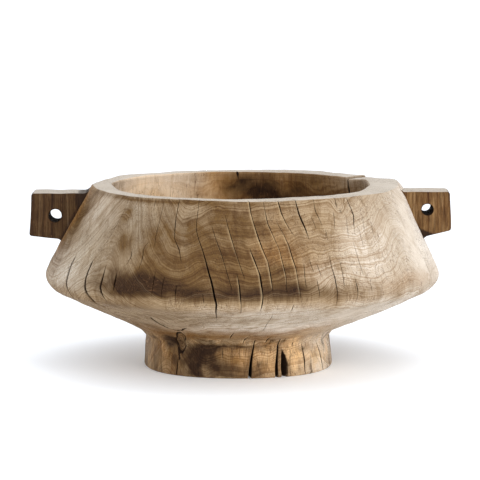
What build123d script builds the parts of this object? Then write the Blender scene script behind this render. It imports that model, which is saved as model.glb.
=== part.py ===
"""A footed wooden bowl with two pierced lugs, carved from one upright block of wood.

The row frame is in millimetres, +Z up, with its origin on the resting plane under the
middle of the overall outline. X runs through the two lugs and the front is towards -Y. The
bowl is hand carved, so the foot, the body and the hollow are each a little off centre.

The block is divided where its carved forms meet: the hollowed body, the solid foot, the two
lugs and the dead knot between foot and body. Each is a closed solid that meets its neighbour
face to face, with no glue line, pin or tenon, because the wood runs on from one to the next.
"""

import math
import os

from build123d import *

# ---- driving dimensions ------------------------------------------------------------------

# The outside is turned: the foot on one upright axis, the body on another beside it. Each
# corner is its radius and its height.
FOOT_X = -2.4
FOOT_BASE = (113.0, 0.0)
FOOT_NECK = (110.3, 36.0)
FOOT_TOP = (115.0, 46.0)
FOOT_EDGE_ROUND = 2.5
BODY_X = 3.0
BODY_FLARE = (130.5, 54.0)
SHOULDER = (240.8, 101.5)
RIM = (181.8, 216.0)
SHOULDER_ROUND = 16.0
RIM_EDGE_ROUND = 2.0

# The hollow has its own axis too. Its wall leans out a little below the mouth, then rounds
# into a shallow dished floor.
HOLLOW_X = 0.6
MOUTH_RADIUS = 152.0
HOLLOW_CORNER = (166.0, 72.0)
HOLLOW_FLOOR_Z = 62.0
HOLLOW_CORNER_ROUND = 66.0

# The lugs are upright slabs in the X-Z plane. "side" is the X direction they point in.
LUG_TIP_X = 251.0
LUG_ROOT_X = 170.0
LUG_CORNER_ROUND = 3.0
LUG_EDGE_ROUND = 1.5
LUGS = {
    "lug_left": {
        "side": -1,
        "thickness": 43.0,
        "top_z": 207.5,
        "tip_bottom_z": 157.4,
        "root_bottom_z": 147.6,
        "hole_x": 220.0,
        "hole_z": 180.4,
        "hole_radius": 7.75,
    },
    "lug_right": {
        "side": 1,
        "thickness": 50.0,
        "top_z": 209.3,
        "tip_bottom_z": 163.5,
        "root_bottom_z": 141.0,
        "hole_x": 222.7,
        "hole_z": 188.4,
        "hole_radius": 6.9,
    },
}

# Azimuths are in degrees from +X, anticlockwise seen from above.

# Drying splits wide enough to be gaps: wedges that close inwards and narrow upwards.
FOOT_SPLITS = [
    {"base_azimuth": -83.5, "top_azimuth": -79.5, "base_width": 4.5, "depth": 42.0},
    {"base_azimuth": -65.2, "top_azimuth": -64.1, "base_width": 5.5, "depth": 50.0},
]
SPLIT_TOP_WIDTH = 1.6

# A rotten pocket beside the second split, an upright egg sunk in the foot's face.
POCKET_AZIMUTH = -61.0
POCKET_Z = 11.0
POCKET_HALF_WIDTH = 5.5
POCKET_HALF_HEIGHT = 19.5
POCKET_DEPTH = 20.0

# The split through the wall at the back right, a wedge that closes downwards.
RIM_SPLIT_INNER_AZIMUTH = 29.0
RIM_SPLIT_OUTER_AZIMUTH = 35.5
RIM_SPLIT_WIDTH = 3.8
RIM_SPLIT_BOTTOM_Z = 178.0

# The dead knot, a branch stub that lies in the wood where the body flares from the foot.
KNOT_AZIMUTH = -126.5
KNOT_Z = 40.0
KNOT_HALF_WIDTH = 8.0
KNOT_HALF_HEIGHT = 14.5
KNOT_INNER_RADIUS = 80.0

# ---- working values ----------------------------------------------------------------------

OVERCUT = 6.0
KNOT_OUTER_RADIUS = 165.0
SAME_HEIGHT = 0.01


def turned(points, axis_x):
    """The solid that a closed outline of (radius, height) points turns, about axis_x."""
    outline = Plane.XZ * make_face(Polyline(*points, close=True))
    return Location((axis_x, 0, 0)) * revolve(outline, Axis.Z)


def edges_at(shape, z):
    """The edges of shape that lie level at height z."""
    found = []
    for edge in shape.edges():
        box = edge.bounding_box()
        if abs(box.min.Z - z) < SAME_HEIGHT and abs(box.max.Z - z) < SAME_HEIGHT:
            found.append(edge)
    return found


def around(azimuth, radius, z=0.0, centre_x=0.0):
    """The point at that azimuth and radius from an upright axis at centre_x."""
    turn = math.radians(azimuth)
    return Vector(centre_x + radius * math.cos(turn), radius * math.sin(turn), z)


def outer_form():
    """The body's outside: the flare, then two cones that meet at a rounded shoulder."""
    middle = [(0.0, RIM[1]), (0.0, FOOT_TOP[1])]
    shape = turned([FOOT_TOP, BODY_FLARE, SHOULDER, RIM, *middle], BODY_X)
    shape = fillet(edges_at(shape, RIM[1]), RIM_EDGE_ROUND)
    return fillet(edges_at(shape, SHOULDER[1]), SHOULDER_ROUND)


def foot_form():
    """The foot's outside, before its splits: nearly straight, with the start of the flare."""
    middle = [(0.0, FOOT_TOP[1]), (0.0, FOOT_BASE[1])]
    shape = turned([FOOT_BASE, FOOT_NECK, FOOT_TOP, *middle], FOOT_X)
    return fillet(edges_at(shape, FOOT_BASE[1]), FOOT_EDGE_ROUND)


def hollow():
    """The turned hollow, and the space above its mouth."""
    mouth = (MOUTH_RADIUS, RIM[1])
    floor_middle = (0.0, HOLLOW_FLOOR_Z)
    above = RIM[1] + OVERCUT
    side = FilletPolyline(mouth, HOLLOW_CORNER, floor_middle, radius=HOLLOW_CORNER_ROUND)
    lid = Polyline(floor_middle, (0.0, above), (MOUTH_RADIUS, above), mouth)
    profile = make_face(Plane.XZ * (side + lid))
    return Location((HOLLOW_X, 0, 0)) * revolve(profile, Axis.Z)


def rim_split():
    """The gap through the wall, cut well past its inner and outer faces."""
    inner = around(RIM_SPLIT_INNER_AZIMUTH, MOUTH_RADIUS, 0, HOLLOW_X)
    outer = around(RIM_SPLIT_OUTER_AZIMUTH, RIM[0], 0, BODY_X)
    along = (outer - inner).normalized()
    reach = RIM[1] - RIM_SPLIT_BOTTOM_Z
    across = Vector(0, 0, 1).cross(along)
    section = Plane(origin=inner - along * reach, x_dir=across, z_dir=along)
    top = RIM[1] + OVERCUT
    half = RIM_SPLIT_WIDTH / 2
    wedge = Polyline((0, RIM_SPLIT_BOTTOM_Z), (half, top), (-half, top), close=True)
    return extrude(section * make_face(wedge), amount=(outer - inner).length + 2 * reach)


def foot_split(spec):
    """One drying split of the foot, from under its base to above its top."""
    apex_radius = FOOT_BASE[0] - spec["depth"]
    mouth_radius = FOOT_BASE[0] + OVERCUT
    rims = [
        (spec["base_azimuth"], spec["base_width"], FOOT_BASE[1] - OVERCUT),
        (spec["top_azimuth"], SPLIT_TOP_WIDTH, FOOT_TOP[1] + OVERCUT),
    ]
    wires = []
    for azimuth, width, z in rims:
        half = math.degrees(width / 2 / FOOT_BASE[0])
        apex = around(azimuth, apex_radius, z, FOOT_X)
        one_side = around(azimuth - half, mouth_radius, z, FOOT_X)
        other_side = around(azimuth + half, mouth_radius, z, FOOT_X)
        wires.append(Wire.make_polygon([apex, one_side, other_side], close=True))
    return Solid.make_loft(wires, ruled=True)


def pocket():
    """The rotten pocket, upright, with its deepest axis along the radius."""
    egg = scale(Sphere(1.0), by=(POCKET_DEPTH, POCKET_HALF_WIDTH, POCKET_HALF_HEIGHT))
    centre = around(POCKET_AZIMUTH, FOOT_BASE[0], POCKET_Z, FOOT_X)
    return Location(tuple(centre), (0, 0, POCKET_AZIMUTH)) * egg


def knot_core():
    """The branch stub as a level oval bar, from inside the foot out past the flare."""
    start = around(KNOT_AZIMUTH, KNOT_INNER_RADIUS, KNOT_Z, FOOT_X)
    outwards = around(KNOT_AZIMUTH, 1.0)
    section = Plane(origin=start, x_dir=Vector(0, 0, 1), z_dir=outwards)
    oval = section * Ellipse(KNOT_HALF_HEIGHT, KNOT_HALF_WIDTH)
    return extrude(oval, amount=KNOT_OUTER_RADIUS - KNOT_INNER_RADIUS)


def make_body():
    """The hollowed body, from the top of the foot to the rim."""
    return outer_form() - hollow() - rim_split() - knot_core()


def make_foot():
    """The solid foot, with its splits, its pocket and the knot's seat."""
    block = foot_form()
    for spec in FOOT_SPLITS:
        block -= foot_split(spec)
    return block - pocket() - knot_core()


def make_knot():
    """The knot, flush with the faces of the foot and the flare."""
    return knot_core() & (foot_form() + outer_form())


def make_lug(spec):
    """One pierced lug, cut off where the body's outside begins."""
    side = spec["side"]
    half_thickness = spec["thickness"] / 2
    outline = Polyline(
        (side * LUG_ROOT_X, spec["top_z"]),
        (side * LUG_TIP_X, spec["top_z"]),
        (side * LUG_TIP_X, spec["tip_bottom_z"]),
        (side * LUG_ROOT_X, spec["root_bottom_z"]),
        close=True,
    )
    slab = extrude(Plane.XZ * make_face(outline), amount=half_thickness, both=True)
    corners = slab.edges().filter_by(Axis.Y).group_by(Axis.X)[-1 if side > 0 else 0]
    slab = fillet(corners, LUG_CORNER_ROUND)
    broad_faces = slab.faces().filter_by(Axis.Y)
    slab = fillet(broad_faces.edges(), LUG_EDGE_ROUND)
    across = Location((side * spec["hole_x"], 0, spec["hole_z"]), (90, 0, 0))
    hole = across * Cylinder(spec["hole_radius"], 2 * spec["thickness"])
    return slab - hole - outer_form()


def main():
    parts = {"bowl_body": make_body(), "foot": make_foot(), "foot_knot": make_knot()}
    for name, spec in LUGS.items():
        parts[name] = make_lug(spec)
    os.makedirs("parts", exist_ok=True)
    for name, shape in parts.items():
        export_step(shape, f"parts/{name}.step")
        size = shape.bounding_box().size
        print(f"{name}: {size.X:.1f} x {size.Y:.1f} x {size.Z:.1f} mm, {len(shape.solids())} solid")


main()
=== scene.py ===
"""Looks for the footed wooden bowl: weathered, checked wood carved from one upright block.

Lengths in this script are in millimetres, in the row frame, until a mesh is made. Azimuths
are in degrees from +X, anticlockwise seen from above, so the front is at -90. "height" is the
upright Z on the outside; past the rim it goes on growing by the distance along the surface,
and under the base it goes on falling the same way, so one number names any level of the form.
"""

import math

import bpy
import numpy as np
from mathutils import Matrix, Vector


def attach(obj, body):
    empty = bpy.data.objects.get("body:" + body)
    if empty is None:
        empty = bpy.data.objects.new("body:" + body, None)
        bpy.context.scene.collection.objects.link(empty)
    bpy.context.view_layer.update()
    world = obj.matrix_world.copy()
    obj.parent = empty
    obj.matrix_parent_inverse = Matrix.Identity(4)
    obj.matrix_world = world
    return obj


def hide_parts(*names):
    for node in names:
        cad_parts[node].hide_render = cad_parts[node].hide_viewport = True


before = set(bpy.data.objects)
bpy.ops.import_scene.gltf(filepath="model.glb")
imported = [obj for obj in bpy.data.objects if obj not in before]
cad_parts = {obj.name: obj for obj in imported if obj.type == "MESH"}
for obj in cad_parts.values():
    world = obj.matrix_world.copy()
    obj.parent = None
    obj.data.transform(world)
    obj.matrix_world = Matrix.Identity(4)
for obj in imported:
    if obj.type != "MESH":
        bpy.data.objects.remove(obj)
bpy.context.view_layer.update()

MM = 0.001

# ---- the form ----

BASE_RADIUS = 113.0
SHOULDER_Z = 101.5
RIM_RADIUS = 181.3
RIM_Z = 216.0
MOUTH_RADIUS = 151.5
FLOOR_Z = 62.0
JOIN_Z = 46.0

# The outline in half section: radius, height, rounding, and the row spacing of the run after.
OUTLINE = [
    (0.0, 0.0, 0.0, 22.0),
    (BASE_RADIUS, 0.0, 2.5, 2.6),
    (110.2, 36.5, 2.5, 2.2),
    (117.0, 46.0, 7.0, 2.2),
    (160.0, 67.0, 0.0, 4.0),
    (240.9, SHOULDER_Z, 16.0, 3.1),
    (RIM_RADIUS, RIM_Z, 2.0, 3.8),
    (MOUTH_RADIUS, RIM_Z, 2.0, 4.2),
    (165.5, 72.0, 66.0, 13.0),
    (0.0, FLOOR_Z, 0.0, 0.0),
]
# An arc takes a point for each of this many radians.
ARC_STEP = 0.2
# The rounding under the foot ends at this height.
BASE_ROUND_TOP = 2.2

# The carving wanders a little off one axis: height and the X of the middle there.
MIDDLE_X = [(0, -2.2), (45, -3), (62, -1.5), (105, 2.3), (160, 4), (216, 5.8)]
HOLLOW_X = 0.6
# The mouth is longer from left to right by this share, and the upper cone swells out.
MOUTH_OVAL = 0.013
UPPER_BULGE = 1.1
# How far the skin wanders, in long waves and in short ones.
WOBBLE = 0.8
RIPPLE = 0.22
# The cone under the shoulder swells out, by this much at each height.
LOWER_BULGE = [(50, 0), (62, 2.6), (72, 4.6), (82, 2.8), (91, 0.3), (99, 0)]
# The right side swells by this much more towards the rim, whose corner is rounder there.
RIGHT_BULGE = [(100, 0), (130, 0.8), (165, 1.6), (188, 3.2), (203, 5), (209, 4.2), (216, 1)]
# The left of the neck stands out by this much round this height, over this half height.
LEFT_NECK = (2.0, 45.0, 6.0)
# The foot is a little squarer than round below this height, more so as it goes down.
FOOT_SQUARE = 0.035
FOOT_SQUARE_BELOW, FOOT_SQUARE_OVER = 45.0, 30.0
# The rim's inner edge is worn back at the front. Like the stretches below, it starts at one
# height along the surface and grows over so much, and ends at another and fades over so much.
FRONT_WEAR = 10.0
WORN = (226.0, 16.0, 300.0, 50.0)

# The rim's back right stretch broke away at the split and was pared: lower next to the split,
# with a squarer corner further round that stands out and up.
PARED_FROM = 14.0
PARED_OVER = 16.0
PARED_DEPTH = 2.0
CORNER_AZIMUTH = 13.0
CORNER_HALF_TURN = 10.0
CORNER_FROM, CORNER_GROWS = 190.0, 24.0
CORNER_OUT = 5.0
CORNER_OUT_TO, CORNER_OUT_FADES = 228.0, 12.0
CORNER_UP = 2.4
RIM_TOP = (206.0, 8.0, 262.0, 14.0)

# ---- the drying cracks ----

# Each crack is its widest opening and a line of (height, azimuth) points, top first.
CRACKS = [
    (0.6, [(214, -136.9), (197, -136.3), (177, -137.7), (159, -139.2)]),
    (4.2, [(145, -151.8), (132, -152.2), (114, -150.3), (104, -148.9), (88, -147)]),
    (4.6, [(143, -141.6), (122, -141.4), (106, -139.7), (99, -137.2), (84, -138.7)]),
    (3.2, [(139, -134.9), (117, -134.1), (108, -132.7), (100, -131.4)]),
    (2.6, [(134, -129.6), (125, -129), (115, -128.4)]),
    (1.0, [(170, -121), (162, -122.8), (152, -122.1), (141, -122.2)]),
    (1.0, [(160, -126.7), (151, -126), (144, -126.9)]),
    (0.7, [(213, -120.2), (194, -119.6), (174, -119.4), (165, -118.8)]),
    (1.0, [(220, -114.5), (194, -113.8), (174, -112.6), (162, -109.7), (149, -108.2)]),
    (0.9, [(137, -116.4), (126, -116.1), (113, -115.8)]),
    (0.9, [(133, -113), (124, -113.2), (112, -112.9)]),
    (1.1, [(125, -108.4), (110, -108.3)]),
    (0.5, [(125, -163.2), (115, -161.7), (106, -160.1)]),
    (0.5, [(216, -132.3), (202, -131.9)]),
    (0.5, [(216, -124), (203, -123.3)]),
    (0.7, [(190, -101), (161, -96.8), (146, -95.1), (123, -92.7)]),
    (0.7, [(201, -96.8), (173, -93.7), (142, -90.4), (134, -89.3)]),
    (1.3, [(138, -91.7), (125, -90.8), (104, -90), (94, -89.7)]),
    (1.1, [(224, -89.1), (204, -87.9), (176, -85.3), (151, -82.4), (121, -81.5)]),
    (1.6, [(164, -88.1), (138, -84.9), (115, -83.9), (97, -84.2)]),
    (0.8, [(216, -83.5), (192, -82.2), (164, -78.7), (135, -77.4), (119, -77.5)]),
    (1.1, [(226, -79.1), (202, -77.3), (188, -75), (179, -73.2)]),
    (1.0, [(193, -79.4), (168, -75.9), (142, -74.2), (113, -73.7)]),
    (1.8, [(226, -72.3), (201, -71), (181, -69.1), (174, -68.8)]),
    (0.9, [(220, -64.7), (205, -65), (188, -62.8)]),
    (0.7, [(198, -66.8), (185, -65.7)]),
    (1.0, [(224, -55.6), (204, -56.4)]),
    (1.2, [(226, -51.2), (204, -50), (196, -49.8), (179, -51.9)]),
    (0.6, [(200, -57.6), (184, -59.1)]),
    (0.5, [(184, -62.1), (172, -62.3)]),
    (0.5, [(194, -52.9), (172, -54.8)]),
    (0.7, [(148, -71.5), (134, -72), (122, -71.9)]),
    (0.6, [(146, -67.6), (134, -66.9)]),
    (0.7, [(129, -68.2), (113, -68)]),
    (1.0, [(154, -63.3), (131, -63.3), (112, -63.4), (102, -63.4)]),
    (0.7, [(168, -53.1), (154, -53.1), (132, -53)]),
    (1.2, [(128, -56.2), (118, -56), (105, -56.6)]),
    (0.5, [(180, -49), (160, -49.6)]),
    (0.5, [(186, -43.1), (172, -43.9)]),
    (0.5, [(149, -59.9), (134, -60.1), (120, -60.3)]),
    (0.5, [(153, -70.1), (140, -69.2)]),
    (0.4, [(194, -45.9), (177, -47.5)]),
    (0.4, [(141, -44.4), (122, -43.9)]),
    (0.4, [(153, -30), (139, -31.1)]),
    (0.5, [(124, -50.8), (114, -51.3)]),
    (1.0, [(116, -100.5), (107, -100.1)]),
    (1.1, [(104, -75.2), (95, -75.2)]),
    (1.0, [(90, -81.2), (77, -80.7), (61, -79.3)]),
    (1.3, [(61, -92.3), (47, -94.6)]),
    (1.3, [(55, -84.2), (41, -87.4)]),
    (1.6, [(51, -72), (41, -73.8)]),
    (1.6, [(48, -60.8), (41, -62.8)]),
    (1.8, [(40, -47.3), (19, -47.1), (-12, -47.7)]),
    (1.8, [(43, -35.7), (24, -31.8), (-12, -27.6)]),
    (1.8, [(41, -54.6), (34, -54.7)]),
    (1.4, [(34, -99.1), (23, -99)]),
    (1.4, [(15, -141.6), (-6, -139.6)]),
    (1.6, [(20, -127.7), (-8, -129.2)]),
]
# A crack's depth is this many times its opening, and its ends taper over this length in mm.
CRACK_STEEPNESS = 3.5
CRACK_TAPER = 16.0
# Past its ends a crack's columns let go of its line over this many mm, and are drawn after
# their neighbours this strongly.
CRACK_GRIP = 9.0
CRACK_PULL = 0.35
# The least half opening of a column pair and the least gap to the next crack, in degrees.
LEAST_HALF = 0.09
LEAST_GAP = 0.22
# The spacing of the plain columns in degrees, finer in the stretch round the knot.
PLAIN_SPACING = 1.25
KNOT_SPACING = 0.55
KNOT_STRETCH = (-140.0, -113.0)
# How much darker than just dark a crack's floor is marked with painted shade, so that its walls are
# painted dark too.
CRACK_SHADE = 3.0
# The left lip of the cracks that lean round the front gets a painted highlight: how much, and the middle
# and half width of that stretch.
LIP_HIGHLIGHT = 1.0
LIPS_ROUND = (-86.0, 22.0)
# The openings at which a lip's painted highlight is full and a crack floor's painted shade is full.
LIP_HIGHLIGHT_OPENING = 0.8
CRACK_SHADE_OPENING = 1.5
# How much a crack's opening swells and pinches along its run.
CRACK_PINCH = 0.28

# Slanting splits and bruises that no upright crack can follow: half width and depth in mm, how
# dark a split is painted as painted shade (below 0 is how pale a bruise is), and a line of (height,
# azimuth) points.
FURROWS = [
    (1.5, 2.6, 1.3, [(78, -122.6), (70, -122.9), (62, -122), (58, -119.8), (61, -115.5), (64, -113)]),
    (1.2, 1.6, 1.0, [(30, -128.6), (25, -127.6), (20, -126.8)]),
    (1.6, 1.0, -0.5, [(206, -61.8), (200, -59.5), (194.5, -55.4), (195.5, -53.6)]),
    (1.5, 0.8, -0.5, [(208, -60.0), (203, -58.5), (199, -58.2)]),
    (1.3, 0.8, -0.4, [(203, -65.5), (199, -63.4), (197, -61.2)]),
    (1.3, 0.6, 0.5, [(209, -56.0), (203, -54.6), (197, -54.8)]),
]

# Wider gaps: the profile, the sag of the floor, and (height, azimuth, opening) points, top
# first. The floor runs straight from one end to the other and sags by that much in the middle;
# with no sag given, it is as deep as a crack's.
NOTCHES = [
    ("V", None, [
        (220, -106.9, 0.5), (184, -106.1, 0.8), (162, -102.7, 1.1),
        (131, -98.9, 2.4), (105, -96.5, 2.6), (84, -96.8, 0),
    ]),
    ("V", 0, [(46, -79.5, 1.5), (35, -79.8, 2.2), (24, -81.4, 3), (0, -83.5, 4.4), (-42, -83, 0)]),
    ("V", 0, [(46, -64, 1.4), (27, -64.8, 2.6), (12, -65.6, 4), (0, -66, 4.5), (-50, -64.5, 0)]),
    ("U", 14, [(32, -62.2, 0), (26, -61.9, 6), (14, -61.4, 10.4), (0, -61.8, 8), (-22, -62, 0)]),
    ("V", 0, [(286, 29, 0), (262, 29.1, 3.4), (246, 29.5, 4.2), (216, 36, 3.4), (171, 36.5, 0)]),
    ("V", 1, [(253, 91, 0), (246, 91.5, 3.6), (240, 92, 0)]),
]
PROFILES = {
    "V": [(-1.0, 0.0), (0.0, 1.0), (1.0, 0.0)],
    "U": [(-1.0, 0.0), (-0.75, 0.8), (0.0, 1.0), (0.75, 0.8), (1.0, 0.0)],
}
# The gap among these that cuts the rim.
RIM_SPLIT = 4

# Smaller checks wander round the sides that the listed ones leave bare.
MINOR_CHECKS = 48
MINOR_FROM = -25.0
MINOR_TO = 196.0

# The fibres lean round the front by this many degrees (at each azimuth) between the rim and
# the shoulder.
LEAN = [(-121, 0), (-112, 8), (-90, 7.8), (-80, 5.6), (-72, 3.6), (-62, 0)]
LEAN_RAMP = [(60, 0), (95, 1), (120, 1), (195, 0)]

# ---- the dead knot ----

KNOT_AZIMUTH = -126.0
KNOT_Z = 41.5
KNOT_HALF_WIDTH = 6.6
KNOT_HALF_HEIGHT = 13.5
# The branch came out nearly forwards, so above the foot the knot swings round with the flare.
KNOT_SWING = 0.5
KNOT_SWING_FROM, KNOT_SWING_OVER = 42.0, 16.0
# Its socket's depth, and how far the wood swells beside it on the right.
SOCKET_DEPTH = 3.4
SOCKET_SWELL = 2.2
# How dark the groove round its edge is.
GROOVE_DARK = 0.8
# What the knot does to the skin stays below this height.
KNOT_BELOW = 80.0


def table(points):
    """The columns of a list of points, as arrays in rising order of the first."""
    return np.array(sorted(points), float).T


def ease(x):
    """0 below 0, 1 above 1, and a smooth rise between."""
    x = np.clip(x, 0, 1)
    return x * x * (3 - 2 * x)


def stretch(x, start, grows, end, fades):
    """1 between start and end, with a smooth rise after one and a smooth fall before the other."""
    return ease((x - start) / grows) * ease((end - x) / fades)


def bell(x, middle, width):
    """A smooth bump of height 1 at middle, gone by about two widths away."""
    return np.exp(-(((x - middle) / width) ** 2))


def turn_between(azimuth, middle):
    """The signed turn from middle to azimuth, from -180 to 180 degrees."""
    return (azimuth - middle + 180) % 360 - 180


def waves(points, seed, count, shortest, longest):
    """A smooth wandering value of about -1 to 1 at each point: a sum of seeded plane waves."""
    rng = np.random.default_rng(seed)
    total = np.zeros(points.shape[:-1])
    for _ in range(count):
        direction = rng.normal(size=3)
        direction /= np.linalg.norm(direction)
        length = rng.uniform(shortest, longest)
        total += np.sin(points @ direction * (2 * math.pi / length) + rng.uniform(0, 6.28))
    return total / math.sqrt(count)


def rounded_line(corners):
    """Points along a line of corners, each rounded by an arc, with its own spacing after."""
    line = []
    for i, (radius, z, rounding, _) in enumerate(corners):
        corner = np.array((radius, z))
        arc = [corner]
        if rounding:
            back = np.array(corners[i - 1][:2]) - corner
            on = np.array(corners[i + 1][:2]) - corner
            back /= np.linalg.norm(back)
            on /= np.linalg.norm(on)
            half = math.acos(np.clip(back @ on, -1, 1)) / 2
            middle = (back + on) / np.linalg.norm(back + on)
            centre = corner + middle * rounding / math.sin(half)
            start = corner + back * rounding / math.tan(half) - centre
            end = corner + on * rounding / math.tan(half) - centre
            sweep = math.pi - 2 * half
            steps = max(3, round(sweep / ARC_STEP))
            turns = np.linspace(0, 1, steps + 1)[:, None]
            swung = np.sin((1 - turns) * sweep) * start + np.sin(turns * sweep) * end
            arc = list(centre + swung / math.sin(sweep))
        if line:
            gap = np.linalg.norm(arc[0] - line[-1])
            count = max(1, round(gap / corners[i - 1][3]))
            line += [line[-1] + (arc[0] - line[-1]) * t for t in np.linspace(0, 1, count + 1)[1:-1]]
        line += arc
    return np.array(line)


def outline_rows():
    """The outline as rows: height, radius, z, outward normal, middle and oval of each."""
    line = rounded_line(OUTLINE)
    join = np.flatnonzero((line[:-1, 1] < JOIN_Z) & (line[1:, 1] >= JOIN_Z))[0]
    share = (JOIN_Z - line[join, 1]) / (line[join + 1, 1] - line[join, 1])
    line = np.insert(line, join + 1, line[join] + share * (line[join + 1] - line[join]), axis=0)
    steps = np.linalg.norm(np.diff(line, axis=0), axis=1)
    run = np.concatenate([[0], np.cumsum(steps)])
    radius, z = line.T
    first_side = np.flatnonzero(z > BASE_ROUND_TOP)[0]
    top = np.flatnonzero(z >= RIM_Z - 1e-6)[0]
    height = z.copy()
    height[:first_side] = z[first_side] - (run[first_side] - run[:first_side])
    height[top:] = z[top - 1] + (run[top:] - run[top - 1])
    tangent = np.gradient(line, run, axis=0)
    tangent /= np.linalg.norm(tangent, axis=1)[:, None]
    inside = ease((height - RIM_Z) / (RIM_RADIUS - MOUTH_RADIUS))
    middle = np.interp(z, *table(MIDDLE_X)) * (1 - inside) + HOLLOW_X * inside
    return {
        "height": height,
        "radius": radius,
        "z": z,
        "normal_r": tangent[:, 1],
        "normal_z": -tangent[:, 0],
        "middle": middle,
        "oval": MOUTH_OVAL * inside,
    }


ROWS = outline_rows()


def surface(height, azimuth, out=0.0, pared=None):
    """The point of the bowl's surface at that height and azimuth, moved out by that much."""
    row = {key: np.interp(height, ROWS["height"], ROWS[key]) for key in ROWS}
    turn = np.radians(azimuth)
    to_right, to_left = np.clip(np.cos(turn), 0, 1), np.clip(-np.cos(turn), 0, 1)
    to_front = np.clip(-np.sin(turn), 0, 1)
    neck, neck_z, neck_half = LEFT_NECK
    bulge = neck * bell(row["z"], neck_z, neck_half) * to_left**2
    upper = (row["z"] - SHOULDER_Z) / (RIM_Z - SHOULDER_Z)
    bulge = bulge + UPPER_BULGE * np.sin(np.pi * np.clip(upper, 0, 1))
    bulge = bulge + np.interp(row["z"], *table(LOWER_BULGE))
    bulge = bulge + np.interp(row["z"], *table(RIGHT_BULGE)) * to_right**5
    square = FOOT_SQUARE * (1 - np.cos(4 * turn)) / 2
    square = square * ease((FOOT_SQUARE_BELOW - row["z"]) / FOOT_SQUARE_OVER)
    outside = height < RIM_Z
    radius = row["radius"] * (1 + row["oval"] * np.cos(2 * turn))
    radius = radius * (1 + np.where(outside, square, 0)) + np.where(outside, bulge, 0)
    radius = radius + FRONT_WEAR * stretch(height, *WORN) * to_front**2
    corner = bell(turn_between(azimuth, CORNER_AZIMUTH), 0, CORNER_HALF_TURN)
    corner = corner * ease((height - CORNER_FROM) / CORNER_GROWS)
    radius = radius + CORNER_OUT * corner * ease((CORNER_OUT_TO - height) / CORNER_OUT_FADES)
    radius = radius + out * row["normal_r"]
    top_start, top_grows, top_end, top_fades = RIM_TOP
    on_top = ease((top_end - height) / top_fades)
    z = row["z"] + out * row["normal_z"] + CORNER_UP * corner * on_top
    if pared is not None:
        z = z - PARED_DEPTH * pared * ease((height - top_start) / top_grows) * on_top
    return np.stack([row["middle"] + radius * np.cos(turn), radius * np.sin(turn), z], axis=-1)


# ---- the cracks' places on the rows ----


def lean_at(base, height):
    """How far the fibre that starts at that base azimuth has leaned round by that height."""
    return np.interp(base, *table(LEAN)) * np.interp(height, *table(LEAN_RAMP))


def base_azimuth(points):
    """The azimuth at the rim of the fibre that a crack runs along."""
    heights, azimuths = np.array([p[:2] for p in points], float).T
    base = azimuths.copy()
    for _ in range(12):
        base = azimuths - lean_at(base, heights)
    return float(base.mean())


def minor_checks():
    """Small seeded checks: down from the rim, over the shoulder, in the foot or inside."""
    rng = np.random.default_rng(11)
    found = []
    step = (MINOR_TO - MINOR_FROM) / MINOR_CHECKS
    for i in range(MINOR_CHECKS):
        azimuth = MINOR_FROM + (i + rng.uniform(0.2, 0.8)) * step
        azimuth = turn_between(azimuth, 0)
        kind = i % 4
        if kind == 0:
            top = RIM_Z + rng.uniform(0, 11)
            bottom = top - rng.uniform(25, 85)
        elif kind == 1:
            top = rng.uniform(122, 150)
            bottom = rng.uniform(84, 98)
        elif kind == 2:
            top = rng.uniform(26, 46)
            bottom = -rng.uniform(2, 20)
        else:
            top = rng.uniform(262, 320)
            bottom = rng.uniform(246, 258)
            azimuth = -azimuth if azimuth > 0 else azimuth
        wide = rng.uniform(0.6, 1.9)
        bend = rng.uniform(-1.2, 1.2, 3)
        line = [(h, azimuth + b) for h, b in zip(np.linspace(top, bottom, 3), bend)]
        found.append((wide, line))
    return found


def all_cracks():
    """Every crack and notch, sorted round the bowl by the fibre that it runs along."""
    found = []
    for wide, line in CRACKS + minor_checks():
        found.append({"profile": "V", "wide": wide, "line": line, "floor": None, "split": False})
    for i, (profile, sag, line) in enumerate(NOTCHES):
        split = i == RIM_SPLIT
        found.append({"profile": profile, "wide": None, "line": line, "floor": sag, "split": split})
    for crack in found:
        crack["base"] = base_azimuth(crack["line"])
    return sorted(found, key=lambda c: c["base"])


def openings(cracks, height):
    """Each crack's opening on each row, tapering to its ends and pinching along its run."""
    wide = np.zeros((len(height), len(cracks)))
    rng = np.random.default_rng(5)
    for i, crack in enumerate(cracks):
        line = table(crack["line"])
        low, high = line[0][0], line[0][-1]
        if crack["wide"] is None:
            wide[:, i] = np.interp(height, line[0], line[2], left=0, right=0)
            continue
        taper = min(CRACK_TAPER, 0.45 * (high - low))
        ends = np.clip((height - low) / taper, 0, 1) * np.clip((high - height) / taper, 0, 1)
        pinch = 1 + CRACK_PINCH * np.sin(height / rng.uniform(4, 9) + rng.uniform(0, 6.28))
        wide[:, i] = crack["wide"] * np.sqrt(ends) * pinch
    return wide


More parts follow.
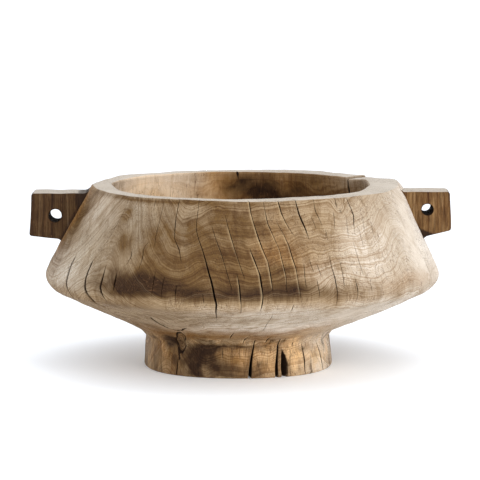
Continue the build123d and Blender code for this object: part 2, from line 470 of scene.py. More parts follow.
def crack_azimuths(cracks, height, wide, radius):
    """Where each crack's columns stand on each row.

    A crack keeps to its own line where it is open. Elsewhere its columns follow their
    neighbours, so the mesh leans with the fibre and no two cracks cross.
    """
    count = len(cracks)
    base = np.array([c["base"] for c in cracks])
    own = np.eye(count)
    springs = 2 * own - np.roll(own, 1, axis=0) - np.roll(own, -1, axis=0)
    place = np.zeros((len(height), count))
    for j, level in enumerate(height):
        pull = np.zeros(count)
        target = np.zeros(count)
        for i, crack in enumerate(cracks):
            line = table(crack["line"])
            past = max(line[0][0] - level, level - line[0][-1], 0)
            pull[i] = math.exp(-past / CRACK_GRIP)
            target[i] = turn_between(np.interp(level, line[0], line[1]), base[i])
        moved = np.linalg.solve(np.diag(pull + 0.01) + CRACK_PULL * springs, pull * target)
        place[j] = base + moved
    half = np.maximum(np.degrees(wide / 2 / np.maximum(radius, 20)[:, None]), LEAST_HALF)
    for _ in range(60):
        following = np.roll(place, -1, axis=1)
        following[:, -1] += 360
        need = half + np.roll(half, -1, axis=1) + LEAST_GAP
        push = np.clip(need - (following - place), 0, None) / 2
        place = place - push + np.roll(push, 1, axis=1)
    return place, half


def spacing_at(azimuth):
    """The turn between plain columns at that azimuth."""
    return KNOT_SPACING if KNOT_STRETCH[0] < azimuth < KNOT_STRETCH[1] else PLAIN_SPACING


def carved_columns(cracks):
    """The mesh's columns: azimuth, depth share and crack number of each, on every row."""
    height, radius = ROWS["height"], ROWS["radius"]
    wide = openings(cracks, height)
    place, half = crack_azimuths(cracks, height, wide, radius)
    azimuth, deep, owner = [], [], []
    for i, crack in enumerate(cracks):
        for side, share in PROFILES[crack["profile"]]:
            azimuth.append(place[:, i] + side * half[:, i])
            deep.append(share)
            owner.append(i)
        after = (i + 1) % len(cracks)
        start = place[:, i] + half[:, i]
        end = place[:, after] - half[:, after] + (360 if after == 0 else 0)
        gap = float(np.mean(end - start))
        plain = max(0, round(gap / spacing_at(crack["base"])) - 1)
        for share in np.linspace(0, 1, plain + 2)[1:-1]:
            azimuth.append(start + (end - start) * share)
            deep.append(0.0)
            owner.append(-1)
    return np.array(azimuth).T, np.array(deep), np.array(owner), wide, place


def knot_azimuth(z):
    """The azimuth of the knot's middle line at that height."""
    return KNOT_AZIMUTH + KNOT_SWING * np.clip(z - KNOT_SWING_FROM, 0, KNOT_SWING_OVER)


def knot_distance(azimuth, z):
    """0 at the middle of the knot, 1 at its edge."""
    across = np.radians(turn_between(azimuth, knot_azimuth(z))) * BASE_RADIUS
    return np.hypot(across / KNOT_HALF_WIDTH, (z - KNOT_Z) / KNOT_HALF_HEIGHT)


def wander(height, azimuth):
    """How far the hand-worked surface wanders off the plain outline."""
    plain = surface(height, azimuth)
    off_base = ease(height / 8)
    return off_base * (WOBBLE * waves(plain, 3, 14, 60, 190) + RIPPLE * waves(plain, 4, 16, 14, 34))


def furrows(height, azimuth, points):
    """How deep each point lies in a slanting split, in mm, and how dark it is painted there: painted
    shade in a split, pale on a bruise.
    """
    sunk = np.zeros_like(height)
    dark = np.zeros_like(height)
    for half, depth, darkness, line in FURROWS:
        corners = [surface(h, a) for h, a in line]
        nearest = np.full_like(height, 1e9)
        for start, end in zip(corners, corners[1:]):
            way = end - start
            along = np.clip(((points - start) @ way) / (way @ way), 0, 1)
            gap = np.linalg.norm(points - start - along[..., None] * way, axis=-1)
            nearest = np.minimum(nearest, gap)
        inside = np.clip(1 - nearest / half, 0, 1)
        sunk += depth * inside
        dark += darkness * inside
    return sunk, dark


def relief(height, azimuth):
    """How far the worn skin stands out from the plain outline, and how dark its furrows are painted:
    painted shade in the splits, pale on the bruises.
    """
    z = np.interp(height, ROWS["height"], ROWS["z"])
    out = wander(height, azimuth)
    knot = knot_distance(azimuth, z)
    near = height < KNOT_BELOW
    right_side = ease(turn_between(azimuth, knot_azimuth(z)) / 3)
    out += np.where(near, SOCKET_SWELL * bell(knot, 1.3, 0.28) * right_side, 0)
    out -= np.where(near, SOCKET_DEPTH * ease((1.1 - knot) / 0.2), 0)
    sunk, dark = furrows(height, azimuth, surface(height, azimuth))
    return out - sunk, dark


def notch_points(crack, place, skin, azimuth, share_deep):
    """A column of a notch whose floor runs straight from one of its ends to the other."""
    low, high = table(crack["line"])[0][[0, -1]]
    ends = [surface(h, np.interp(h, ROWS["height"], place)) for h in (low, high)]
    share = (ROWS["height"] - low) / (high - low)
    inside = (share > 0) & (share < 1)
    share = np.clip(share, 0, 1)[:, None]
    turn = np.radians(azimuth)
    inward = np.stack([-np.cos(turn), -np.sin(turn), 0 * turn], axis=-1)
    floor = ends[0] + (ends[1] - ends[0]) * share + inward * crack["floor"] * 4 * share * (1 - share)
    return np.where(inside[:, None], skin + (floor - skin) * share_deep, skin)


def carved_points(cracks):
    """The whole skin as a grid of points, their azimuths, and a mark of painted shade, painted highlights
    and bruises.

    The mark is above 0 where a crack or split is painted dark, as painted shade, and in the groove round
    the knot, and below 0 where a crack lip gets a painted highlight and on a pale bruise.
    """
    azimuth, deep, owner, wide, place = carved_columns(cracks)
    level = ROWS["height"][:, None] * np.ones_like(azimuth)
    numbers = np.arange(azimuth.shape[1])
    split = next(i for i, c in enumerate(cracks) if c["split"])
    before_split = numbers <= np.flatnonzero((owner == split) & (deep == 0))[0]
    round_back = turn_between(azimuth, PARED_FROM)
    pared = ease(round_back / PARED_OVER) * (round_back < 60) * before_split
    out, dark = relief(level, azimuth)
    skin = surface(level, azimuth, out, pared)
    points = skin.copy()
    mark = np.zeros_like(azimuth)
    for k in numbers[owner >= 0]:
        crack = cracks[owner[k]]
        opening = wide[:, owner[k]]
        if deep[k] == 0:
            on_left = owner[k - 1] != owner[k]
            # Painted highlight on the crack's left lip.
            pale = LIP_HIGHLIGHT * bell(crack["base"], *LIPS_ROUND) * on_left
            mark[:, k] = -pale * np.clip(opening / LIP_HIGHLIGHT_OPENING, 0, 1)
            continue
        if crack["floor"] is None:
            depth = CRACK_STEEPNESS * opening * deep[k]
            points[:, k] = surface(level[:, k], azimuth[:, k], out[:, k] - depth, pared[:, k])
        else:
            points[:, k] = notch_points(crack, place[:, owner[k]], skin[:, k], azimuth[:, k], deep[k])
        # Painted shade, darkest at the crack's floor.
        mark[:, k] = CRACK_SHADE * deep[k] * np.clip(opening / CRACK_SHADE_OPENING, 0, 1)
    knot = knot_distance(azimuth, ROWS["z"][:, None])
    groove = GROOVE_DARK * bell(knot, 1.04, 0.07) * (level < KNOT_BELOW)
    for other in (dark, groove):
        mark = np.where(np.abs(other) > np.abs(mark), other, mark)
    return points, azimuth, mark


# ---- meshes ----


def placed(name, data):
    """A new object of that mesh, light or camera, linked to the scene."""
    thing = bpy.data.objects.new(name, data)
    bpy.context.scene.collection.objects.link(thing)
    return thing


# Edges that turn by more than this many degrees stay sharp.
SHARP_ANGLE = 38.0
# The bake chart's margin at the left and right, and its two strips' bottoms and height.
CHART_MARGIN = 0.004
STRIP_BOTTOMS = (0.505, 0.005)
STRIP_HEIGHT = 0.49


def new_piece(name, points, faces, node, material, loop_uv=None, values=None):
    """A mesh piece in metres that rides on the one body and stands for its CAD node."""
    mesh = bpy.data.meshes.new(name)
    mesh.from_pydata((np.asarray(points) * MM).tolist(), [], faces)
    mesh.polygons.foreach_set("use_smooth", [True] * len(mesh.polygons))
    if loop_uv is not None:
        layer = mesh.uv_layers.new(name="OFBake")
        layer.data.foreach_set("uv", np.asarray(loop_uv, np.float32).ravel())
    for key, value in (values or {}).items():
        value = np.asarray(value, np.float32)
        kind = "FLOAT" if value.ndim == 1 else "FLOAT_VECTOR"
        attribute = mesh.attributes.new(key, kind, "POINT")
        attribute.data.foreach_set("value" if value.ndim == 1 else "vector", value.ravel())
    mesh.set_sharp_from_angle(angle=math.radians(SHARP_ANGLE))
    mesh.update()
    piece = placed(name, mesh)
    mesh.materials.append(material)
    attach(piece, "root")
    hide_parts(node)


def closed_grid(points, values, poles, strips):
    """Vertices, faces, values and bake UVs of a ring-shaped grid closed by a pole at each end.

    points is rows by columns, and strips is what bake_strips gives for it.
    """
    rows, columns = points.shape[:2]
    here = np.arange(columns)
    after = (here + 1) % columns
    low = (np.arange(rows - 1) * columns)[:, None]
    quads = np.stack([low + here, low + after, low + columns + after, low + columns + here], axis=-1)
    first, last = rows * columns, rows * columns + 1
    top = (rows - 1) * columns
    first_fan = np.stack([after, here, np.full(columns, first)], axis=-1)
    last_fan = np.stack([top + here, top + after, np.full(columns, last)], axis=-1)
    faces = first_fan.tolist() + quads.reshape(-1, 4).tolist() + last_fan.tolist()

    left, right, bottom, along = strips

    def uv(u, row):
        v = bottom[None, :] + along[row][:, None]
        return np.stack([np.broadcast_to(u, v.shape), v], axis=-1)

    here_row = np.arange(1, rows)
    corners = ((left, here_row), (right, here_row), (right, here_row + 1), (left, here_row + 1))
    quad_uv = [uv(u, row) for u, row in corners]
    middle = (left + right) / 2
    one = np.array([0])
    first_uv = [uv(right, one + 1), uv(left, one + 1), uv(middle, one)]
    last_uv = [uv(left, one + rows), uv(right, one + rows), uv(middle, one + rows + 1)]
    loops = [np.stack(part, axis=2).reshape(-1, 2) for part in (first_uv, quad_uv, last_uv)]

    flat = np.vstack([points.reshape(-1, 3), poles[0], poles[1]])
    flat_values = {}
    for key, value in values.items():
        ends = np.stack([value[0].mean(0), value[-1].mean(0)])
        flat_values[key] = np.concatenate([value.reshape(rows * columns, *value.shape[2:]), ends])
    return flat, faces, flat_values, np.concatenate(loops)


def bake_strips(points, halfway):
    """Where each column and row of the grid lies in a bake chart of two strips.

    The strips are the front and the back, cut at the two lugs: each column's left and right
    edge in u, its strip's bottom in v, and how far up the strip each row lies.
    """
    closed = np.concatenate([points, points[:, :1]], axis=1)
    across = np.maximum(np.linalg.norm(np.diff(closed, axis=1), axis=2).mean(0), 0.8)
    steps = np.median(np.linalg.norm(np.diff(points, axis=0), axis=2), axis=1)
    ends = [np.linalg.norm(points[e] - points[e].mean(0), axis=1).mean() for e in (0, -1)]
    along = np.concatenate([[0], np.cumsum([ends[0], *steps, ends[1]])])
    left, right = np.zeros(len(across)), np.zeros(len(across))
    for part in (slice(0, halfway), slice(halfway, None)):
        edges = np.concatenate([[0], np.cumsum(across[part])])
        edges = CHART_MARGIN + (1 - 2 * CHART_MARGIN) * edges / edges[-1]
        left[part], right[part] = edges[:-1], edges[1:]
    bottom = np.where(np.arange(len(across)) < halfway, *STRIP_BOTTOMS)
    return left, right, bottom, STRIP_HEIGHT * along / along[-1]


def cap_rows(ring, shares):
    """Rows that close a level ring towards its middle."""
    middle = ring.mean(0)
    middle[2] = ring[0, 2]
    return [middle + (ring - middle) * share for share in shares], middle


# ---- wood: rings, fibre and tones ----

# The growth rings come to the surface as wavy level lines. At each azimuth they rise by this
# much above their plain level, so they draw arches and hollows.
RING_RISE = [
    (-180, 10), (-168, -16), (-156, 14), (-148, 44), (-141, 74), (-135, 96), (-129, 66), (-122, 30),
    (-116, 10), (-109, -12), (-103, 16), (-95, 8), (-87, 6), (-78, 12), (-70, 13), (-60, 20),
    (-51, 21), (-42, 30), (-31, 46), (-24, 30), (-14, 6), (0, 4), (20, 30), (50, -10), (80, 25),
    (110, 0), (140, 35), (165, -5), (180, 10),
]
RISE_BLUR = (-4.0, -2.0, 0.0, 2.0, 4.0)
# Low down they rise by this share of it, which grows to all of it over this stretch of heights.
LOW_RISE = 0.45
RISE_FROM, RISE_OVER = 95.0, 110.0
# How far the rings wander in mm, in long waves and in short ones.
RING_DRIFT = 3.4
RING_SHIVER = 1.1
# Past the mouth the rings are drawn apart by this share.
SPREAD_INSIDE = 0.8
# Small eyes in the figure: height, azimuth, half size in mm, and strength. The bowl's radius
# where they lie turns degrees into mm.
EYES_RADIUS = 215
EYES = [(112, -22, 14, 30), (205, -55, 11, 14), (120, 60, 18, 30), (176, 150, 16, 24), (128, -63, 12, -9)]


def ring_field(height, azimuth, points):
    """Which growth ring, in mm from the outermost, comes to the surface at each point."""
    z = points[..., 2]
    rises = [np.interp(turn_between(azimuth + off, 0), *table(RING_RISE)) for off in RISE_BLUR]
    rise = sum(rises) / len(rises)
    strength = LOW_RISE + (1 - LOW_RISE) * ease((z - RISE_FROM) / RISE_OVER)
    inside = ease((height - 240) / 12)
    field = z - rise * strength + RING_DRIFT * waves(points * (1, 1, 0.6), 21, 10, 50, 130)
    field += RING_SHIVER * waves(points * (1, 1, 0.5), 22, 14, 12, 40)
    for level, middle, size, amount in EYES:
        across = np.radians(turn_between(azimuth, middle)) * EYES_RADIUS
        field += amount * np.exp(-((across / size) ** 2) - ((height - level) / size) ** 2)
    return field * (1 - SPREAD_INSIDE * inside)


def fibre_space(height, azimuth, points):
    """Points turned back by the fibres' lean, so a level cut of this space follows a fibre."""
    lean = lean_at(turn_between(azimuth, 0), height)
    turn = np.radians(azimuth - lean)
    radius = np.hypot(points[..., 0], points[..., 1])
    return np.stack([radius * np.cos(turn), radius * np.sin(turn), points[..., 2]], axis=-1)


# Broad changes of tone: amount, height and azimuth of the middle, half height in mm and half
# width in degrees.
TONES = {
    "grey": [
        (0.8, 170, -148, 60, 16), (0.5, 120, -150, 30, 20), (0.6, 190, -125, 30, 14),
        (0.3, 84, -100, 12, 40), (0.4, 150, 130, 60, 40), (0.4, 160, 40, 50, 30),
        (0.7, 23, -124, 4, 3.5), (0.5, 176, -125, 20, 3.5), (0.7, 180, -115.5, 22, 3),
        (0.8, 186, -108, 20, 4), (0.6, 198, -131, 16, 3), (0.5, 190, -99, 9, 8),
    ],
    "cream": [
        # (0.7, 150, -6, 90, 29) is pale wood on the right, and also a painted highlight up to the cone's
        # right edge.
        (0.7, 150, -6, 90, 29), (0.44, 152, -49, 40, 10), (0.27, 196, -152, 24, 12),
        (0.65, 68, -66, 17, 26), (0.4, 66, -90, 8, 28), (0.3, 94, -48, 16, 16), (0.4, 93, -84, 8, 16),
        # (1, 268, 138, 90, 30) is pale wood on the inner back-left wall, made paler still as painted
        # light where the light falls in there.
        (0.6, 86, -20, 22, 20), (0.2, 135, -66, 18, 7), (0.78, 24, -28, 40, 24), (1, 268, 138, 90, 30),
        (0.47, 180, 20, 60, 30), (0.23, 290, -90, 60, 60), (0.39, 120, -158, 30, 12),
        (0.55, 28, -52, 12, 3), (0.23, 24, -77, 20, 1.6),
    ],
    "calm": [
        (1, 160, -16, 90, 32), (0.7, 84, -55, 26, 44), (1, 268, 136, 90, 32), (0.7, 24, -34, 40, 24),
        (0.5, 165, -134, 56, 30),
    ],
    "gold": [
        (0.8, 160, -80, 34, 9), (0.9, 24, -140, 26, 14), (0.7, 24, -56, 30, 9), (1, 280, 98, 50, 14),
        (0.8, 280, 70, 50, 20), (0.9, 24, -74, 26, 9), (0.6, 280, 50, 50, 30), (1, 180, -171, 40, 4),
        (0.8, 50, -110, 5, 34), (0.6, 190, 160, 40, 30), (0.35, 58, -66, 8, 30),
        (0.3, 262, 132, 60, 26), (0.9, 20, -89, 14, 5), (0.4, 60, -104, 8, 30), (0.3, 118, -30, 12, 20),
        (0.9, 28, -96, 7, 10),
    ],
    "honey": [
        (0.4, 29, -95, 4, 5), (0.5, 29, -87, 5, 3.5), (0.7, 25, -74, 12, 8), (0.9, 20, -53, 26, 7),
        (0.6, 22, -34, 26, 20), (0.7, 275, 138, 50, 24), (0.3, 15, -142, 8, 5), (0.3, 272, 104, 20, 5),
    ],
    "brown": [
        (0.55, 182, -137, 34, 8), (0.8, 170, -120, 36, 9), (1, 150, -100, 46, 13),
        (0.7, 195, -96, 24, 18), (1, 126, -98, 14, 20), (1, 124, -122, 20, 14), (0.35, 160, -78, 40, 9),
        (1, 116, -96, 9, 32), (0.45, 98, -128, 9, 18), (0.1, 84, -104, 8, 20), (0.3, 115, -64, 5, 12),
        (1, 15, -100, 13, 12), (0.8, 178, -113, 8, 1.6), (0.9, 185, -105.5, 7, 2),
        (0.7, 196, -135, 10, 2.5), (0.5, 155, -92, 12, 5), (0.5, 140, -79, 8, 5),
        (0.6, 163, -103, 14, 3), (0.6, 166, -131, 12, 3), (1, 36, -134, 9, 6), (1, 14, -122, 16, 7),
        (0.6, 280, 92, 60, 6), (0.6, 280, 60, 50, 16), (0.7, 290, 30, 50, 24), (1, 180, -165, 40, 6),
        # (1, 213, -122, 2.6, 42) is a painted shadow: a thin dark line just under the rim's outer edge at
        # the front.
        (1, 213, -122, 2.6, 42), (0.5, 33, -72, 2.5, 8), (0.4, 14, -75, 8, 5), (0.5, 140, 60, 40, 30),
        (0.5, 120, 150, 30, 30), (0.5, 14, -142, 8, 12), (0.5, 32, -48, 3, 6), (0.4, 12, -44, 6, 6),
        (0.4, 22, -37, 8, 3), (1, 24, -117, 18, 10),
    ],
    "umber": [
        (0.9, 126, -125, 11, 9), (0.6, 122, -117, 9, 6), (0.95, 117, -112, 8, 16),
        (0.85, 116, -88, 7, 14), (0.5, 120, -78, 5, 8), (1, 24, -116, 12, 9), (1, 33, -108, 4, 11),
        (0.8, 13, -101, 5, 10), (0.9, 21, -107, 9, 5), (0.8, 37, -96, 1.6, 18), (1, 37, -135.5, 5, 4.5),
        (0.6, 11, -88, 4, 7), (1, 12, -117, 10, 9), (0.9, 41, -134, 5, 5), (1, 274, 80, 24, 9),
        (0.8, 262, 90, 10, 8), (0.6, 286, 70, 16, 7), (0.5, 275, 60, 40, 12), (0.4, 130, 100, 30, 20),
        (0.5, 4, -100, 3, 40), (0.8, 31, -121, 7, 3), (0.5, 31, -47.5, 2.5, 3), (0.5, 17, -77, 5, 2),
    ],
}
# Each spot keeps to its own side of the shoulder's underside, which fades over this height.
UNDER_SHOULDER_Z = 107.0
UNDER_SHOULDER_FADE = 12.0
# Their edges wander by this much, up and down in mm and sideways in degrees: long waves, short
# ones.
EDGE_DRIFT = (5, 3)
EDGE_SWING = (2.0, 1.2)
# How much the level faces are bleached, outside and in the hollow, which starts at this height.
SUN_OUTSIDE = 0.85
SUN_INSIDE = 0.25
SHADE_FROM, SHADE_OVER = 250.0, 30.0


def tones(height, azimuth, points):
    """How much of each broad tone the wood has at each point, with wandering edges."""
    long_drift, short_drift = EDGE_DRIFT
    drift = long_drift * waves(points, 31, 12, 30, 110) + short_drift * waves(points, 33, 12, 9, 26)
    long_swing, short_swing = EDGE_SWING
    swing = long_swing * waves(points, 32, 12, 30, 110) + short_swing * waves(points, 34, 12, 9, 26)
    over_by = height - UNDER_SHOULDER_Z + waves(points, 35, 10, 20, 60)
    over = ease(over_by / UNDER_SHOULDER_FADE + 0.5)
    found = {}
    for name, spots in TONES.items():
        total = np.zeros_like(height)
        for amount, level, middle, tall, wide in spots:
            across = turn_between(azimuth + swing * min(1, wide / 12), middle) / wide
            up = (height + drift * min(1, tall / 20) - level) / tall
            spot = amount * np.exp(-(across**2) - up**2)
            total += spot * (over if level > UNDER_SHOULDER_Z else 1 - over)
        found[name] = np.clip(total, 0, 1)
    return found


def wood_values(height, azimuth, points, crack):
    """The values that the wood's nodes read at each point of a mesh."""
    return {
        "ring": ring_field(height, azimuth, points),
        "fibre": fibre_space(height, azimuth, points),
        "crack": crack,
        "sun": SUN_OUTSIDE - (SUN_OUTSIDE - SUN_INSIDE) * ease((height - SHADE_FROM) / SHADE_OVER),
        **tones(height, azimuth, points),
    }


# ---- the lugs ----

# Each lug's upright edge leans back by tip_lean towards its top. hole is its X, Z and radius.
# The root is painted darker where the lug meets the bowl, as painted shade: it reaches out by the given
# width in mm where it is widest, and widens from the first given height to the second.
LUGS = [
    {
        "name": "LugLeft", "node": "lug_left", "side": -1, "thickness": 43.0, "seed": 61,
        "tip": 251.0, "tip_lean": 3.0, "top": 207.5, "tip_bottom": 156.8, "root_bottom": 146.6,
        "hole": (220.0, 180.4, 7.75),
        "tones": {"gold": 0.2, "brown": 1.0, "umber": 0.68},
        "root_shade": 11.0, "root_shade_from": 188.0, "root_shade_to": 207.5,
    },
    {
        "name": "LugRight", "node": "lug_right", "side": 1, "thickness": 50.0, "seed": 62,
        "tip": 251.0, "tip_lean": 1.8, "top": 209.3, "tip_bottom": 163.5, "root_bottom": 141.0,
        "hole": (222.7, 188.4, 6.6),
        "tones": {"gold": 0.9, "honey": 0.1, "brown": 0.6, "umber": 0.15},
        "root_shade": 24.0, "root_shade_from": 172.0, "root_shade_to": 156.0,
    },
]
# The hollow curve under the lug and the low one over it: how far they reach into the corner.
LUG_FILLET = 5.0
LUG_LIFT = 4.0
# Both stay near the lug's top and bottom, within these shares of its height.
NEAR_TOP = 0.35
NEAR_BOTTOM = 0.25
# The lugs start inside the wall, at this distance from the bowl's middle.
LUG_ROOT = 168.0
# The rounding of the tip's corners, of the long edges and of the hole, and the wear of the faces.
LUG_CORNER = 3.5
LUG_EDGE = 1.5
HOLE_EDGE = 0.8
LUG_WEAR = 0.35
# The rings of points inside the hole, and how dark the inside of the hole is painted: painted shade.
HOLE_RINGS = 9
HOLE_SHADE = 0.9
# The painted shade at the root fades over this many mm, and the darker painted shade inside it over as
# many.
ROOT_SHADE_FADE = 5.0


def lug_outline(lug):
    """The lug's side outline as points and outward normals, from the root's top round the tip."""
    corners = [
        (LUG_ROOT, lug["top"], 0.0, 3.0),
        (lug["tip"] - lug["tip_lean"], lug["top"], LUG_CORNER, 2.6),
        (lug["tip"], lug["tip_bottom"], LUG_CORNER, 3.0),
        (LUG_ROOT, lug["root_bottom"], 0.0, 4.0),
        (LUG_ROOT, lug["top"], 0.0, 0.0),
    ]
    line = rounded_line(corners)[:-1]
    ahead = np.roll(line, -1, axis=0) - np.roll(line, 1, axis=0)
    ahead /= np.linalg.norm(ahead, axis=1)[:, None]
    return line, np.stack([-ahead[:, 1], ahead[:, 0]], axis=-1)


def body_radius(z):
    """The radius of the bowl's outside at that height."""
    outside = (ROWS["height"] <= RIM_Z) & (ROWS["height"] >= JOIN_Z)
    return np.interp(z, ROWS["z"][outside], ROWS["radius"][outside])


def lug_points(lug):
    """The lug's skin as rings that run out over the front, across the edge and back inside."""
    line, normal = lug_outline(lug)
    hole, radius = np.array(lug["hole"][:2]), lug["hole"][2]
    to_line = line - hole
    to_line /= np.linalg.norm(to_line, axis=1)[:, None]
    half = lug["thickness"] / 2
    inset = normal * LUG_EDGE
    round_steps = np.linspace(0, np.pi / 2, 4)[1:]
    rim = hole + to_line * (radius + HOLE_EDGE)
    face = [rim + (line - inset - rim) * t for t in np.linspace(0, 1, 14)]
    bore = hole + to_line * radius
    rings = [(bore, y) for y in np.linspace(half - HOLE_EDGE, HOLE_EDGE - half, HOLE_RINGS)]
    rings += [(f, -half) for f in face]
    rings += [(line - inset * (1 - np.sin(a)), LUG_EDGE * (1 - np.cos(a)) - half) for a in round_steps]
    rings += [(line, y) for y in np.linspace(LUG_EDGE - half, half - LUG_EDGE, 13)[1:]]
    rings += [(line - inset * (1 - np.cos(a)), half - LUG_EDGE * (1 - np.sin(a))) for a in round_steps]
    rings += [(f, half) for f in face[-2::-1]]
    return np.array([np.insert(flat, 1, y, axis=1) for flat, y in rings])


def settle_lug(points, lug):
    """Blends the plain lug into the bowl's side and wears its faces."""
    out, y, z = points[..., 0], points[..., 1], points[..., 2]
    middle = lug["side"] * np.interp(z, *table(MIDDLE_X))
    away = np.hypot(out - middle, y) - body_radius(z)
    height = lug["top"] - lug["tip_bottom"]
    near_top = ease((z - lug["top"] + NEAR_TOP * height) / (NEAR_TOP * height))
    near_bottom = ease((lug["tip_bottom"] + NEAR_BOTTOM * height - z) / (NEAR_BOTTOM * height))
    lift = LUG_LIFT * np.clip(1 - away / 7, 0, 1) ** 2
    drop = LUG_FILLET * np.clip(1 - away / (1.5 * LUG_FILLET), 0, 1) ** 2
    z = z + near_top * lift - near_bottom * drop
    settled = np.stack([out * lug["side"], y, z], axis=-1)
    for axis in range(3):
        settled[..., axis] += LUG_WEAR * waves(points, lug["seed"] + 3 * axis, 12, 16, 60)
    return settled


def make_lug(lug, material):
    """One lug as a closed mesh, run on a little way inside the bowl's wall."""
    points = settle_lug(lug_points(lug), lug)
    rings, around = points.shape[:2]
    here = np.arange(rings * around).reshape(rings, around)
    after = np.roll(here, -1, axis=1)
    corners = (here, after, np.roll(after, -1, axis=0), np.roll(here, -1, axis=0))
    faces = np.stack(corners, axis=-1).reshape(-1, 4)
    if lug["side"] > 0:
        faces = faces[:, ::-1]
    flat = points.reshape(-1, 3)
    azimuth = np.degrees(np.arctan2(flat[:, 1], flat[:, 0]))
    values = wood_values(flat[:, 2], azimuth, flat, np.zeros(len(flat)))
    values["ring"] = 2.2 * np.abs(flat[:, 0]) + 4 * waves(flat * (1, 1, 0.4), 71, 10, 30, 90)
    values.update({key: np.full(len(flat), lug["tones"].get(key, 0.0)) for key in TONES})
    # The root is painted darker, with umber and then the crack colour, where the lug meets the bowl:
    # painted shade.
    away = np.hypot(flat[:, 0], flat[:, 1]) - body_radius(flat[:, 2])
    into = (flat[:, 2] - lug["root_shade_from"]) / (lug["root_shade_to"] - lug["root_shade_from"])
    width = 2 + lug["root_shade"] * ease(into)
    values["umber"] = values["umber"] + ease((width - away) / ROOT_SHADE_FADE)
    values["crack"] = 0.3 * ease((width - 3 - away) / ROOT_SHADE_FADE)
    # The inside of the hole is painted dark: painted shade.
    values["crack"][: HOLE_RINGS * around] = HOLE_SHADE
    new_piece(lug["name"], flat, faces.tolist(), lug["node"], material, values=values)


# ---- the knot ----

KNOT_COLUMNS = 56
# Shares of the way out to the knot's edge: over its dome, then straight back into the wood.
KNOT_DOME = np.linspace(0.06, 0.96, 16)
KNOT_BACK = [(0.98, -3.0), (0.98, -9.0)]
# How high the dome stands over its edge, how far all of it is sunk, and how deep its rings are.
KNOT_HEIGHT = 2.0
KNOT_SUNK = 1.2
KNOT_RIPPLE = 0.25
# The run of growth rings from its middle to its edge.
KNOT_RING_RUN = 33.0


def knot_ripple(share, turn):
    """The knot's own rings, -1 in their valleys and 1 on their ridges."""
    return np.sin(share * 26 + 0.8 * np.sin(turn * 2))


def make_knot(material):
    """The dead knot: a low oval dome in its socket, closed behind."""
    dome = [(share, KNOT_HEIGHT * (1 - share**2) - KNOT_SUNK) for share in KNOT_DOME]
    share, depth = (np.array(column)[:, None] for column in zip(*dome, *KNOT_BACK))
    turn = np.linspace(0, 2 * np.pi, KNOT_COLUMNS, endpoint=False)
    across = KNOT_HALF_WIDTH * share * np.cos(turn)
    z = KNOT_Z + KNOT_HALF_HEIGHT * share * np.sin(turn)
    azimuth = knot_azimuth(z) + np.degrees(across / BASE_RADIUS)
    ripple = knot_ripple(share, turn)
    points = surface(z, azimuth, wander(z, azimuth) + depth + KNOT_RIPPLE * ripple)
    azimuth = np.degrees(np.arctan2(points[..., 1], points[..., 0]))
    values = wood_values(points[..., 2], azimuth, points, np.zeros_like(z))
    values["ring"] = KNOT_RING_RUN * share + 2.4 * waves(points, 81, 8, 8, 20)
    edge, heart = ease((share - 0.84) / 0.1), 0.45 * ease((0.2 - share) / 0.2)
    values["crack"] = np.maximum(edge, heart) * np.ones_like(z)
    values["umber"] = 0.35 + 0.45 * ripple
    poles = (points[0].mean(0), points[-1].mean(0))
    made = closed_grid(points, values, poles, bake_strips(points, KNOT_COLUMNS // 2))
    flat, faces, values, uv = made
    new_piece("Knot", flat, faces, "foot_knot", material, uv, values)


# ---- the body and the foot ----

# The rows that close foot and body at the join, as shares of its radius.
CAP_SHARES = (0.93, 0.5)


def make_body_and_foot(body_wood, foot_wood):
    """The two big pieces, cut from one skin at the join so that every crack runs on."""
    cracks = all_cracks()
    points, azimuth, crack = carved_points(cracks)
    height = ROWS["height"][:, None] * np.ones_like(azimuth)
    values = wood_values(height, azimuth, points, crack)
    join = int(np.flatnonzero(np.isclose(ROWS["z"], JOIN_Z) & (ROWS["height"] < RIM_Z))[0])
    points[join, :, 2] = JOIN_Z
    points[0, :, 2] = 0.0
    halfway = int(np.argmin(np.abs(azimuth[join])))
    cap, middle = cap_rows(points[join], CAP_SHARES)

    def build(name, rows, first_cap, last_cap, poles, node, material):
        body = np.array(first_cap + list(points[rows]) + last_cap)
        ends = (len(first_cap), len(last_cap))
        kept = {}
        for key, value in values.items():
            part = value[rows]
            kept[key] = np.concatenate([part[:1].repeat(ends[0], 0), part, part[-1:].repeat(ends[1], 0)])
        flat, faces, kept, uv = closed_grid(body, kept, poles, bake_strips(body, halfway))
        new_piece(name, flat, faces, node, material, uv, kept)

    under, inside = points[0].mean(0), points[-1].mean(0)
    below, above = slice(1, join + 1), slice(join, -1)
    build("Foot", below, [], cap, (under, middle), "foot", foot_wood)
    build("BowlBody", above, cap[::-1], [], (middle, inside), "bowl_body", body_wood)


# ---- the wood's nodes ----


def linear(red, green, blue):
    """A node colour from the usual 0 to 255 values, all above 10."""
    return tuple(((c / 255 + 0.055) / 1.055) ** 2.4 for c in (red, green, blue)) + (1.0,)


COLOURS = {
    "tan": linear(158, 136, 106),
    "grey": linear(168, 155, 135),
    "cream": linear(244, 236, 225),
    "gold": linear(154, 113, 63),
    "honey": linear(234, 198, 150),
    "brown": linear(102, 77, 44),
    "umber": linear(54, 34, 14),
    "bleach": linear(188, 178, 164),
    "check": linear(88, 60, 36),
    # crack is the painted shade in the cracks, splits and lug holes and at the lug roots, and the dark of
    # the knot's groove, rim and heart.
    "crack": linear(38, 24, 13),
}
ROUGHNESS = 0.62
SHINE = 0.12
BUMP_STRENGTH = 0.7
BUMP_HEIGHT = 0.6 * MM


